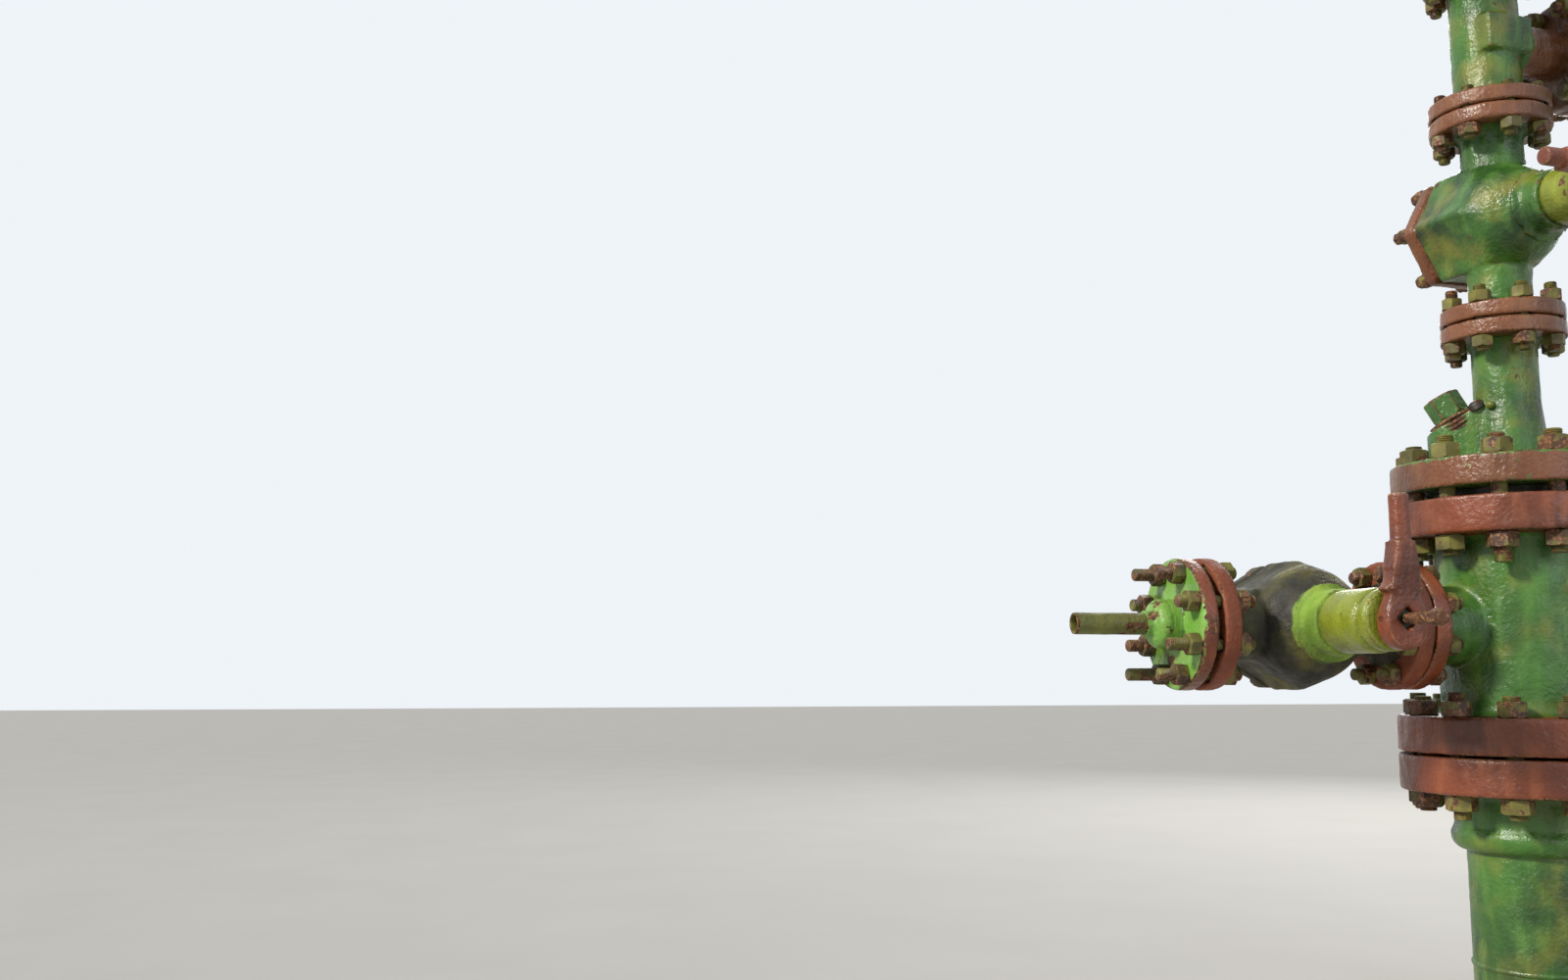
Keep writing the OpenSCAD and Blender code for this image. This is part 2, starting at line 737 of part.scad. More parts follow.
casing_pipe();
casing_head();
lower_seal_ring();
tubing_head();
upper_seal_ring();
tree_adapter();
port_plug();
tree_tee();
top_flange();
gauge_pipe();
gaskets();
left_blind_flange();
left_nipple();
right_blind_flange();
right_nipple();
left_valve_body();
left_valve_cover();
left_stem_housing();
left_plug();
left_lever();
left_grease_screw();
right_valve_body();
right_valve_cover();
right_stem_housing();
right_plug();
right_lever();
right_grease_screw();
master_valve_body();
master_valve_cover();
master_stem_housing();
master_plug();
master_lever();
master_grease_screw();
wing_valve_body();
wing_valve_cover();
wing_stem_housing();
wing_plug();
wing_lever();
wing_grease_screw();
upper_valve_body();
upper_valve_cover();
upper_stem_housing();
upper_plug();
upper_lever();
upper_grease_screw();
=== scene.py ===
import math
import random
import bpy
import numpy as np
from mathutils import Matrix, Vector, noise


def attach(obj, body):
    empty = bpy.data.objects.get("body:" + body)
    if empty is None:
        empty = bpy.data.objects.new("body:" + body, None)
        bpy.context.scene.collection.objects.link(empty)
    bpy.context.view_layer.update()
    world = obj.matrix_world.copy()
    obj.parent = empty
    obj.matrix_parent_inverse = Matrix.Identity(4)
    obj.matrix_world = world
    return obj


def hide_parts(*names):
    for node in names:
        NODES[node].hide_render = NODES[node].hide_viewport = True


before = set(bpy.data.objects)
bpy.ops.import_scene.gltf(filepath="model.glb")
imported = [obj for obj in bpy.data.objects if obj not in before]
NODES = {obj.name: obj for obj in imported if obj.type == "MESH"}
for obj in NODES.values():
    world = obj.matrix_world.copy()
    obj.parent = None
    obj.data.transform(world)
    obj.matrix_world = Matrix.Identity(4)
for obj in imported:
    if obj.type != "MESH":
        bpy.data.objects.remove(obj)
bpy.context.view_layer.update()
SCENE = bpy.context.scene
random.seed(7)

# Places and sizes, in metres, in the same frame as the solids
TURN = math.radians(7)
BRANCH_Z = 0.598
SIDE_VALVE_X = 0.393
MASTER_Z = 1.263
TEE_Z = 1.570
UPPER_Z = 1.877
WING_VALVE_X = 0.354
TREE_VALVE_HALF = 0.175
SIDE_VALVE_HALF = 0.171
FLANGE_T = 0.027
BLIND_T = 0.024
END_GAP = 0.010
SIDE_FACE_X = 0.220
WING_FACE_X = 0.177
TEE_HALF = 0.130
PLATE_BOTTOM_Z, PLATE_TOP_Z = 0.811, 0.858
HEAD_Z, LOW_JOINT_Z, BODY_Z, UP_DISC_Z, SPOOL_TOP_Z = 0.340, 0.399, 0.458, 0.738, 0.795
ADAPTER_TOP_Z = 1.086
TOP_JOINT_Z = UPPER_Z + TREE_VALVE_HALF
COVER_FACE = 0.121
LOBE_R = 0.084
SQUARE_END, LEVER_FACE, SCREW_END = 0.271, 0.281, 0.355
CASING_R = 0.097
HALF_TURN = math.pi
QUARTER = math.pi / 2
SIXTH = math.pi / 3


def place(x, z, turn=0.0, tip=0.0):
    """Frame at x and z, tipped about Y and then turned round the well."""
    return Matrix.Rotation(turn, 4, "Z") @ Matrix.Translation((x, 0, z)) @ Matrix.Rotation(tip, 4, "Y")


VALVES = {
    "left": place(-SIDE_VALVE_X, BRANCH_Z, 0, QUARTER),
    "right": place(SIDE_VALVE_X, BRANCH_Z, 0, QUARTER),
    "master": place(0, MASTER_Z, TURN),
    "wing": place(WING_VALVE_X, TEE_Z, TURN, QUARTER),
    "upper": place(0, UPPER_Z, TURN),
}
HANDLE_BODY = {"left": "left_handle", "master": "master_handle"}
ALONG_STEM = Matrix.Rotation(QUARTER, 4, "X")


# Materials

class Shade:
    """Builds one node material from short calls."""

    def __init__(self, name):
        self.mat = bpy.data.materials.new(name)
        self.mat.use_nodes = True
        self.tree = self.mat.node_tree
        self.tree.nodes.clear()
        self.shader = self.add("ShaderNodeBsdfPrincipled")
        out = self.add("ShaderNodeOutputMaterial")
        self.tree.links.new(self.shader.outputs[0], out.inputs[0])
        self.place = self.add("ShaderNodeTexCoord").outputs["Object"]

    def add(self, kind):
        return self.tree.nodes.new(kind)

    def put(self, socket, value):
        if isinstance(value, bpy.types.NodeSocket):
            self.tree.links.new(value, socket)
        elif isinstance(value, tuple):
            socket.default_value = (*value, 1.0) if len(socket.default_value) == 4 else value
        else:
            socket.default_value = value

    def noise(self, scale, detail=3.0, stretch=(1, 1, 1), rough=0.5, shift=0.0):
        mapping = self.add("ShaderNodeMapping")
        self.put(mapping.inputs["Vector"], self.place)
        self.put(mapping.inputs["Scale"], tuple(stretch))
        self.put(mapping.inputs["Location"], (shift, 2 * shift, 3 * shift))
        node = self.add("ShaderNodeTexNoise")
        self.put(node.inputs["Vector"], mapping.outputs[0])
        self.put(node.inputs["Scale"], scale)
        self.put(node.inputs["Detail"], detail)
        self.put(node.inputs["Roughness"], rough)
        return node.outputs[0]

    def fit(self, value, low, high, to_low=0.0, to_high=1.0):
        """Smooth step from to_low to to_high while value goes from low to high."""
        node = self.add("ShaderNodeMapRange")
        node.interpolation_type = "SMOOTHSTEP"
        for socket, v in zip(node.inputs, (value, low, high, to_low, to_high)):
            self.put(socket, v)
        return node.outputs[0]

    def math(self, op, a, b=0.0, clamp=False):
        node = self.add("ShaderNodeMath")
        node.operation = op
        node.use_clamp = clamp
        self.put(node.inputs[0], a)
        self.put(node.inputs[1], b)
        return node.outputs[0]

    def mix(self, amount, a, b):
        node = self.add("ShaderNodeMix")
        node.data_type = "RGBA"
        self.put(node.inputs["Factor"], amount)
        self.put(node.inputs[6], a)
        self.put(node.inputs[7], b)
        return node.outputs[2]

    def attribute(self, name):
        node = self.add("ShaderNodeAttribute")
        node.attribute_name = name
        return node.outputs["Fac"]

    def depth(self):
        """Y of the point, which is least in front."""
        split = self.add("ShaderNodeSeparateXYZ")
        self.put(split.inputs[0], self.place)
        return split.outputs["Y"]

    def bump(self, height, strength, distance, under=None):
        node = self.add("ShaderNodeBump")
        self.put(node.inputs["Height"], height)
        self.put(node.inputs["Strength"], strength)
        self.put(node.inputs["Distance"], distance)
        if under is not None:
            self.put(node.inputs["Normal"], under)
        return node.outputs[0]

    def finish(self, color, rough, normal):
        self.put(self.shader.inputs["Base Color"], color)
        self.put(self.shader.inputs["Roughness"], rough)
        self.put(self.shader.inputs["Normal"], normal)
        return self.mat


GREEN = ((0.014, 0.046, 0.010), (0.050, 0.152, 0.020), (0.12, 0.27, 0.045))
OXIDE = ((0.07, 0.018, 0.008), (0.205, 0.048, 0.017), (0.32, 0.095, 0.036))
RUSTY_OXIDE = ((0.06, 0.022, 0.009), (0.17, 0.058, 0.022), (0.27, 0.12, 0.05))
LIME = ((0.06, 0.075, 0.010), (0.20, 0.24, 0.018), (0.36, 0.40, 0.05))
# Dark olive; on the left valve's body it is partly a painted shadow
DARK_OLIVE = ((0.008, 0.007, 0.004), (0.024, 0.022, 0.010), (0.060, 0.055, 0.022))
FRESH_GREEN = ((0.06, 0.15, 0.020), (0.17, 0.39, 0.055), (0.27, 0.48, 0.12))
PIPE_OLIVE = ((0.05, 0.055, 0.012), (0.17, 0.18, 0.030), (0.28, 0.30, 0.07))
# Paler green of a painted sunlit patch on the front of the left valve's body
SUNLIT_COLLAR_GREEN = ((0.06, 0.11, 0.012), (0.20, 0.34, 0.030), (0.33, 0.46, 0.07))
RUST = ((0.030, 0.012, 0.006), (0.13, 0.050, 0.018), (0.30, 0.14, 0.055))
OLIVE = ((0.045, 0.038, 0.010), (0.14, 0.12, 0.022), (0.30, 0.28, 0.05))
# Dark grime; in the enamel it also serves as painted shade in hollows
GRIME_AND_SHADE = (0.018, 0.014, 0.008)
# Pale tone of rubbed paint on edges, partly a painted highlight
RUBBED_AND_HIGHLIGHT = (0.34, 0.20, 0.11)
YELLOW_DIRT = (0.24, 0.22, 0.03)
BRUSHED = (1, 1, 0.3)
SPRAYED = (1, 1, 1)


def rust_color(s, shift=0.0):
    """Dark scale, brown rust and pale grains."""
    scale = s.fit(s.noise(55, 6, shift=shift, rough=0.65), 0.32, 0.68)
    grains = s.fit(s.noise(190, 4, shift=shift + 1), 0.48, 0.68)
    return s.mix(grains, s.mix(scale, RUST[0], RUST[1]), RUST[2])


def coat(s, tones, shift, streak):
    """One coat of enamel: cloudy, with paler marks drawn out by streak."""
    broad = s.fit(s.noise(7, 4, shift=shift), 0.30, 0.66)
    brushed = s.fit(s.noise(38, 4, stretch=streak, shift=shift), 0.42, 0.72)
    return s.mix(s.math("MULTIPLY", brushed, 0.45), s.mix(broad, tones[0], tones[1]), tones[2])


def paint(name, tones, second=None, chips=0.3, grime_and_shade=0.5, wear=0.6, gloss=0.32, yellow=0.35, lumps=0.8,
          front=None):
    """Brushed enamel: a second coat where the zone attribute says, a painted sunlit patch on the front
    where front is given, worn edges that are partly a painted highlight, chips, dirt, and painted shade in
    hollows.
    """
    s = Shade(name)
    color = coat(s, tones, 0.0, BRUSHED)
    # Painted light: where y is least, at the front, the piece takes paler tones as a sunlit patch
    if front:
        sunlit_tones, edge_y = front
        border = s.math("ADD", s.depth(), s.math("MULTIPLY", s.noise(22, 4, shift=8), 0.02))
        color = s.mix(s.fit(border, edge_y + 0.005, edge_y), color, coat(s, sunlit_tones, 4.0, BRUSHED))
    dusty = s.fit(s.noise(16, 5, shift=5), 0.45, 0.72, 0.0, yellow)
    color = s.mix(dusty, color, YELLOW_DIRT)
    if second:
        ragged = s.math("MULTIPLY", s.math("SUBTRACT", s.noise(60, 4), 0.5), 0.5)
        zone = s.fit(s.math("ADD", s.attribute("zone"), ragged), 0.47, 0.53)
        color = s.mix(zone, color, coat(s, second, 3.0, BRUSHED))
    # Grime and painted shade lie in the hollows, and rubbed metal, partly a painted highlight, and chips
    # are most of all on edges
    curve = s.attribute("curve")
    patchy = s.math("MULTIPLY", s.noise(30, 5, shift=9), 0.6)
    hollow = s.math("ADD", s.math("SUBTRACT", 0.5, curve), patchy)
    # Painted shade with grime: hollows are darkened as if shade fell in them
    color = s.mix(s.fit(hollow, 0.36, 0.66, 0.0, grime_and_shade), color, GRIME_AND_SHADE)
    speckle = s.math("MULTIPLY", s.noise(75, 7, shift=12, rough=0.7), 0.45)
    flake = s.math("ADD", s.noise(24, 5, shift=15, rough=0.6), speckle)
    edge = s.fit(curve, 0.62, 1.0, 0.0, 0.42 * wear)
    chip_at = 1.04 - 0.25 * chips
    bare = s.fit(s.math("ADD", flake, edge), chip_at, chip_at + 0.03)
    # Rubbed paint on sharp edges, partly a painted highlight along them
    rubbed_and_highlit_here = s.fit(s.noise(33, 4, shift=18), 0.40, 0.60, 0.1, 0.55)
    rubbed_and_highlit = s.math("MULTIPLY", s.fit(curve, 0.70, 0.95), rubbed_and_highlit_here)
    color = s.mix(rubbed_and_highlit, color, RUBBED_AND_HIGHLIGHT)
    color = s.mix(bare, color, rust_color(s, 20.0))
    sheen = s.fit(s.noise(45, 4, shift=22), 0.3, 0.7, gloss - 0.08, gloss + 0.14)
    rough = s.math("ADD", sheen, s.math("MULTIPLY", bare, 0.35), clamp=True)
    # Brush marks, lumps, grain and the step down into a chip
    normal = s.bump(s.noise(60, 3, stretch=BRUSHED, shift=25), 0.7 * lumps, 0.004)
    normal = s.bump(s.noise(150, 3, shift=26), lumps, 0.0022, normal)
    normal = s.bump(s.noise(420, 3, shift=27), 0.3, 0.0006, normal)
    normal = s.bump(s.math("SUBTRACT", 1.0, bare), 0.7, 0.0006, normal)
    return s.finish(color, rough, normal)


def rusty(name, tint=None, amount=0.0, rough=0.72):
    """Rusted steel, with some overspray of a paint colour where tint is given."""
    s = Shade(name)
    color = rust_color(s)
    if tint:
        drift = s.math("MULTIPLY", s.noise(9, 2, shift=33), 0.7)
        mist = s.math("ADD", s.noise(48, 5, shift=31), drift)
        spray = s.fit(mist, 0.92 - 0.3 * amount, 1.0 - 0.3 * amount)
        color = s.mix(spray, color, coat(s, tint, 35.0, SPRAYED))
    color = s.mix(s.fit(s.noise(26, 5, shift=37), 0.52, 0.75, 0.0, 0.7), color, GRIME_AND_SHADE)
    normal = s.bump(s.noise(110, 6, rough=0.65), 0.6, 0.0016)
    normal = s.bump(s.noise(600, 4, shift=3), 0.35, 0.0005, normal)
    sheen = s.fit(s.noise(60, 4, shift=41), 0.3, 0.7, rough - 0.14, rough + 0.12)
    return s.finish(color, sheen, normal)


MATERIALS = {
    "green": paint("green_enamel", GREEN, chips=0.25),
    "flanged_green": paint("flanged_green", GREEN, RUSTY_OXIDE, chips=0.5, wear=0.9, yellow=0.6,
                           grime_and_shade=0.65),
    "spool_green": paint("spool_green", GREEN, OXIDE, chips=0.35, wear=0.9, lumps=0.6),
    "end_green": paint("end_green", FRESH_GREEN, OXIDE, chips=0.85, wear=1.1, grime_and_shade=0.7),
    # The left body: dark olive that is partly painted shadow and partly dirt, with a painted sunlit patch
    # in front
    "shaded_dark_body": paint("shaded_dark_body", DARK_OLIVE, OXIDE, chips=0.45, grime_and_shade=0.7, gloss=0.62,
                       front=(SUNLIT_COLLAR_GREEN, -0.078)),
    "chipped": paint("chipped_green", GREEN, chips=0.75, wear=1.3),
    "lime": paint("lime_enamel", LIME, chips=0.45, grime_and_shade=0.7, wear=0.7, yellow=0.1),
    "oxide": paint("oxide_red", OXIDE, chips=0.15, grime_and_shade=0.45, wear=0.45, yellow=0.0, gloss=0.36),
    "nipple": paint("nipple_olive", PIPE_OLIVE, chips=0.9, wear=0.7, grime_and_shade=0.6, gloss=0.5),
    "rust": rusty("rusty_steel"),
    "cover": rusty("cover_rust", OLIVE, 0.25),
    "fastener": rusty("fastener_rust", OLIVE, 0.5, 0.6),
    "steel": rusty("dull_steel", DARK_OLIVE, 0.9, 0.5),
}


def dress(obj, material):
    obj.data.materials.clear()
    obj.data.materials.append(MATERIALS[material])


def linked(name, data):
    obj = bpy.data.objects.new(name, data)
    SCENE.collection.objects.link(obj)
    return obj


def ready(obj, body, material, replaced=None):
    dress(obj, material)
    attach(obj, body)
    if replaced:
        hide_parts(replaced)


# Cast and forged pieces

def applied(obj):
    """Mesh of an object with its modifiers worked in; the object goes."""
    graph = bpy.context.evaluated_depsgraph_get()
    mesh = bpy.data.meshes.new_from_object(obj.evaluated_get(graph))
    bpy.data.objects.remove(obj)
    return mesh


def points(mesh):
    co = np.empty(len(mesh.vertices) * 3, dtype=np.float32)
    mesh.vertices.foreach_get("co", co)
    return co.reshape(-1, 3)


def normals(mesh):
    n = np.empty(len(mesh.vertices) * 3, dtype=np.float32)
    mesh.vertex_normals.foreach_get("vector", n)
    return n.reshape(-1, 3)


def store(mesh, name, values):
    layer = mesh.attributes.new(name, "FLOAT", "POINT")
    layer.data.foreach_set("value", values.astype(np.float32))


def curvature(mesh, steps=6, full=150.0):
    """Bend of the surface in 1/m, squeezed to 0..1: 0.5 is flat, 1 a sharp edge, 0 a sharp hollow."""
    co = points(mesh)
    edges = np.empty(len(mesh.edges) * 2, dtype=np.int32)
    mesh.edges.foreach_get("vertices", edges)
    a, b = edges.reshape(-1, 2).T
    count = np.maximum(np.bincount(a, minlength=len(co)) + np.bincount(b, minlength=len(co)), 1)
    length = np.linalg.norm(co[a] - co[b], axis=1) ** 2
    spacing = (np.bincount(a, length, len(co)) + np.bincount(b, length, len(co))) / count + 1e-9
    soft = co.copy()
    for _ in range(steps):
        total = np.zeros_like(soft)
        for axis in range(3):
            total[:, axis] = np.bincount(a, soft[b, axis], len(co)) + np.bincount(b, soft[a, axis], len(co))
        soft = 0.5 * soft + 0.5 * total / count[:, None]
    stand = np.einsum("ij,ij->i", co - soft, normals(mesh))
    bend = 4 * stand / (steps * spacing)
    return np.clip(0.5 + 0.5 * bend / full, 0.0, 1.0)


def to_local(co, matrix):
    """Points in the frame of a matrix, with a fourth column of ones."""
    return np.c_[co, np.ones(len(co))] @ np.array(matrix.inverted()).T


def to_world(local, matrix):
    return (local @ np.array(matrix).T)[:, :3]


def disc_zone(co, discs):
    """Signed depth inside the nearest flange disc, squeezed to 0..1 round its border."""
    border = 0.02
    depth = np.full(len(co), -1.0)
    for matrix, low, high, inner in discs:
        local = to_local(co, matrix)
        radius = np.hypot(local[:, 0], local[:, 1])
        inside = np.minimum.reduce([local[:, 2] - low, high - local[:, 2], radius - inner])
        depth = np.maximum(depth, inside)
    return np.clip(0.5 + depth / border, 0.0, 1.0)


def hex_barrel(matrix):
    """Draws a valve body in to its cast form: six ridges from the cover that run out on an oval dome.

    Distances are in millimetres along the stem from the bore's axis, less than zero at the cover.
    """
    mm = 0.001
    stations = [-105, -20, 10, 34, 57, 80, 93]
    across_flow = [97, 97, 96, 91, 80, 63, 50]
    along_flow = [97, 96, 93, 89, 80, 64, 50]
    flat_share = 0.886
    round_from, round_to = -20, 45
    ridge_h, ridge_half = 6.5, math.radians(8)
    ridge_start, ridge_full, ridge_fades, ridge_end = -78, -70, 10, 50
    groove_at, groove_half, groove_depth = -81, 4.5, 9
    neck_r, neck_root, neck_from, flange_from = 50, 45, 60, 118
    skin = 3.5
    cover_end, dome_end = -106.5, 92
    # The round belly of the solid: a barrel that ends in an elliptical dome at the bonnet
    belly_end, dome_h, bonnet_r, bulge = 10, 85, 49, 54
    turns = [math.radians(a) for a in range(6, 79, 6)]
    solid_d = [-106, -100, -42, -belly_end, belly_end] + [belly_end + dome_h * math.sin(t) for t in turns]
    solid_r = [78, 78, 99, 103, 103] + [bonnet_r + bulge * math.cos(t) for t in turns]

    def reshape(co):
        local = to_local(co, matrix)
        u, d, w = local[:, 0] / mm, -local[:, 1] / mm, local[:, 2] / mm
        r, theta = np.hypot(u, w), np.arctan2(w, u)
        oval = 1 / np.sqrt((np.cos(theta) / np.interp(d, stations, across_flow)) ** 2
                           + (np.sin(theta) / np.interp(d, stations, along_flow)) ** 2)
        from_flat = np.mod(theta, SIXTH) - SIXTH / 2
        hexagon = np.minimum(flat_share / np.cos(from_flat), 1.0)
        rounding = np.clip((d - round_from) / (round_to - round_from), 0, 1)
        new = oval * (hexagon + (1 - hexagon) * rounding)
        from_ridge = SIXTH / 2 - np.abs(from_flat)
        runs_out = np.clip((ridge_end - d) / (ridge_end - ridge_fades), 0, 1)
        runs_out *= np.clip((d - ridge_start) / (ridge_full - ridge_start), 0, 1)
        new += ridge_h * runs_out * (np.exp(-(from_ridge / ridge_half) ** 2) - 0.6)
        new -= groove_depth * np.clip(1.5 - 1.5 * np.abs(d - groove_at) / groove_half, 0, 1)
        on_neck = (np.hypot(u, d) < neck_r) & (np.abs(w) > neck_from)
        outside = r > np.interp(d, solid_d, solid_r) - skin
        moved = outside & (d > cover_end) & (d < dome_end) & (np.abs(w) < flange_from) & ~on_neck
        factor = np.where(moved, new / np.maximum(r, 1), 1.0)
        u, w = u * factor, w * factor
        pinched = moved & (np.hypot(u, d) < neck_r) & (np.abs(w) > neck_root)
        spread = np.where(pinched, neck_r / np.maximum(np.hypot(u, d), 1), 1.0)
        local[:, 0], local[:, 1], local[:, 2] = u * spread * mm, -d * spread * mm, w * mm
        return to_world(local, matrix)
    return reshape


def drawn_arm(matrix):
    """Widens a lever's arm evenly into its hub and takes the step between their faces away."""
    hub_r, hub_half, arm_half = 0.043, 0.033, 0.016
    socket, eye = 0.100, 0.010
    step_from, step_to = 0.030, 0.075
    front, back = LEVER_FACE, LEVER_FACE - 0.026
    here = matrix @ ALONG_STEM

    def reshape(co):
        local = to_local(co, here)
        far = np.hypot(local[:, 0], local[:, 1]) > socket
        aim = local[far, :2].mean(axis=0)
        aim /= np.linalg.norm(aim)
        side = np.array((-aim[1], aim[0]))
        along, across, z = local[:, :2] @ aim, local[:, :2] @ side, local[:, 2]
        hub = np.minimum(np.sqrt(np.maximum(hub_r ** 2 - along ** 2, 0)), hub_half)
        now = np.maximum(hub, arm_half)
        line = arm_half + (socket - along) * (hub_half - arm_half) / (socket - eye)
        across = across * np.where((along > eye) & (along < socket), np.maximum(line, now) / now, 1.0)
        share = np.clip((along - step_from) / (step_to - step_from), 0, 1)
        share = share * share * (3 - 2 * share)
        on_arm = (along > 0) & (along < socket)
        z = np.where((z > front) & on_arm, front + (z - front) * share, z)
        z = np.where((z < back) & on_arm, back + (z - back) * share, z)
        local[:, :2] = along[:, None] * aim + across[:, None] * side
        local[:, 2] = z
        return to_world(local, here)
    return reshape


def plain_back(matrix):
    """Takes the tee's block off its rear side, where the photograph shows the bare run."""
    run_r, half_w, half_h, clear = 0.0535, 0.047, 0.032, 0.02

    def reshape(co):
        local = to_local(co, matrix)
        x, y, z = local[:, 0], local[:, 1], local[:, 2]
        r = np.hypot(x, y)
        stands_out = (y > clear) & (np.abs(x) < half_w) & (np.abs(z) < half_h) & (r > run_r)
        local[:, :2] *= np.where(stands_out, run_r / np.maximum(r, clear), 1.0)[:, None]
        return to_world(local, matrix)
    return reshape


def voxels(obj, size):
    remesh = obj.modifiers.new("remesh", "REMESH")
    remesh.mode = "VOXEL"
    remesh.voxel_size = size


def lumps(p, size):
    return noise.noise(Vector(p) / size) + 0.5 * noise.noise(Vector(p) / (0.35 * size))


def cast(node, material, slot, voxel, tris, body="root", smooth=3, lump=0.0006, size=0.028, discs=(),
         reshape=None):
    """Lumpy, round-edged copy of a solid, with its bend and its flange discs as attributes."""
    draft = linked(node + "_draft", NODES[node].data.copy())
    voxels(draft, voxel)
    if reshape:
        mesh = applied(draft)
        mesh.vertices.foreach_set("co", reshape(points(mesh)).astype(np.float32).ravel())
        mesh.update()
        draft = linked(node + "_draft", mesh)
        voxels(draft, voxel)
    soften = draft.modifiers.new("soften", "SMOOTH")
    soften.factor = 0.5
    soften.iterations = smooth
    mesh = applied(draft)
    co = points(mesh)
    high = lump * np.array([lumps(p, size) for p in co])
    mesh.vertices.foreach_set("co", (co + normals(mesh) * high[:, None]).ravel())
    mesh.update()
    draft = linked(node + "_draft", mesh)
    mesh.calc_loop_triangles()
    thin = draft.modifiers.new("thin", "DECIMATE")
    thin.ratio = min(1.0, tris / max(1, len(mesh.loop_triangles)))
    mesh = applied(draft)
    mesh.polygons.foreach_set("use_smooth", [True] * len(mesh.polygons))
    store(mesh, "curve", curvature(mesh))
    if discs:
        store(mesh, "zone", disc_zone(points(mesh), discs))
    ready(linked(node + "_cast", mesh), body, material, node)


AXIS = place(0, 0)
TREE = place(0, 0, TURN)
TEE = place(0, TEE_Z, TURN)
OUTLET = place(0, TEE_Z, TURN, QUARTER)
ENDS = (("left", -1), ("right", 1))
END_FACE = SIDE_VALVE_X + SIDE_VALVE_HALF + END_GAP
# Where the second coat of the flange discs ends, past their faces and towards the bore.
# With an inner radius below zero it takes in the whole disc.
EDGE_IN, PAST_FACE, PAST_MAIN = 0.004, 0.002, 0.003
MAIN_IN, PLATE_IN, SMALL_IN, SIDE_IN, BLIND_IN, WHOLE = 0.135, 0.180, 0.066, 0.072, 0.0935, -1.0
BLIND_FRONT = 0.0035
OUTLET_RUST_X = 0.066
BEYOND_COVER, COVER_JOINT = -0.2, -0.081


def pair_discs(matrix, half):
    """Both flange discs of a valve or tee, in its own frame, as low, high and inner radius."""
    return [(matrix, half - FLANGE_T - EDGE_IN, half + EDGE_IN, SMALL_IN),
            (matrix, -half - EDGE_IN, -half + FLANGE_T + EDGE_IN, SMALL_IN)]


cast("casing_pipe", "green", "green_paint", voxel=0.004, tris=16000, lump=0.0008)
cast("casing_head", "spool_green", "green_paint", voxel=0.0032, tris=56000,
     discs=[(AXIS, HEAD_Z - PAST_FACE, LOW_JOINT_Z, MAIN_IN)])
spool_discs = [(AXIS, LOW_JOINT_Z, BODY_Z + PAST_MAIN, MAIN_IN),
               (AXIS, UP_DISC_Z - PAST_MAIN, SPOOL_TOP_Z + PAST_FACE, MAIN_IN)]
for _, side in ENDS:
    spool_discs.append((place(0, BRANCH_Z, 0, side * QUARTER), SIDE_FACE_X - FLANGE_T - EDGE_IN,
                        SIDE_FACE_X + PAST_FACE, SIDE_IN))
cast("tubing_head", "spool_green", "green_paint", voxel=0.0032, tris=100000, discs=spool_discs, lump=0.0009)
cast("tree_adapter", "flanged_green", "green_paint", voxel=0.0028, tris=62000,
     discs=[(AXIS, PLATE_BOTTOM_Z, PLATE_TOP_Z - EDGE_IN, PLATE_IN),
            (AXIS, ADAPTER_TOP_Z - FLANGE_T - EDGE_IN, ADAPTER_TOP_Z + PAST_FACE, SMALL_IN)])
cast("tree_tee", "flanged_green", "green_paint", voxel=0.0028, tris=46000, reshape=plain_back(TEE),
     discs=pair_discs(TEE, TEE_HALF) + [(OUTLET, OUTLET_RUST_X, WING_FACE_X + PAST_FACE, WHOLE)])
cast("top_flange", "flanged_green", "green_paint", voxel=0.0026, tris=14000,
     discs=[(TREE, TOP_JOINT_Z, TOP_JOINT_Z + PAST_FACE + FLANGE_T + EDGE_IN, SMALL_IN)])
cast("gauge_pipe", "green", "green_paint", voxel=0.0026, tris=8000)
for name, side in ENDS:
    rim = (place(0, BRANCH_Z, 0, side * QUARTER), END_FACE - PAST_FACE, END_FACE + BLIND_T - BLIND_FRONT,
           BLIND_IN)
    cast(f"{name}_blind_flange", "end_green", "green_paint", voxel=0.0022, tris=20000, lump=0.0004,
         discs=[rim])
    cast(f"{name}_nipple", "nipple", "olive_paint", voxel=0.0022, tris=6000, lump=0.0003)
cast("port_plug", "chipped", "rusty_steel", voxel=0.0015, tris=9000, smooth=2, lump=0.0003, size=0.012)

for name, matrix in VALVES.items():
    half = SIDE_VALVE_HALF if name in ("left", "right") else TREE_VALVE_HALF
    # The left valve's body is partly darkened by painted shadow
    body_look = ("shaded_dark_body", "dirty_olive") if name == "left" else ("flanged_green", "green_paint")
    body_discs = pair_discs(matrix, half)
    if name != "left":
        body_discs.append((matrix @ ALONG_STEM, BEYOND_COVER, COVER_JOINT, WHOLE))
    cast(f"{name}_valve_body", *body_look, voxel=0.0026, tris=40000, lump=0.0009, discs=body_discs,
         reshape=hex_barrel(matrix))
    cast(f"{name}_valve_cover", "cover", "rusty_steel", voxel=0.0022, tris=13000)
    cast(f"{name}_stem_housing", "lime", "olive_paint", voxel=0.0015, tris=15000, smooth=1, lump=0.0004)
    cast(f"{name}_lever", "oxide", "oxide_paint", voxel=0.0016, tris=12000, smooth=8, lump=0.0003,
         body=HANDLE_BODY.get(name, "root"), reshape=drawn_arm(matrix))

for node in ("lower_seal_ring", "upper_seal_ring", "gaskets"):
    dress(NODES[node], "steel")
for name in VALVES:
    dress(NODES[f"{name}_plug"], "steel")


# Turned and threaded pieces

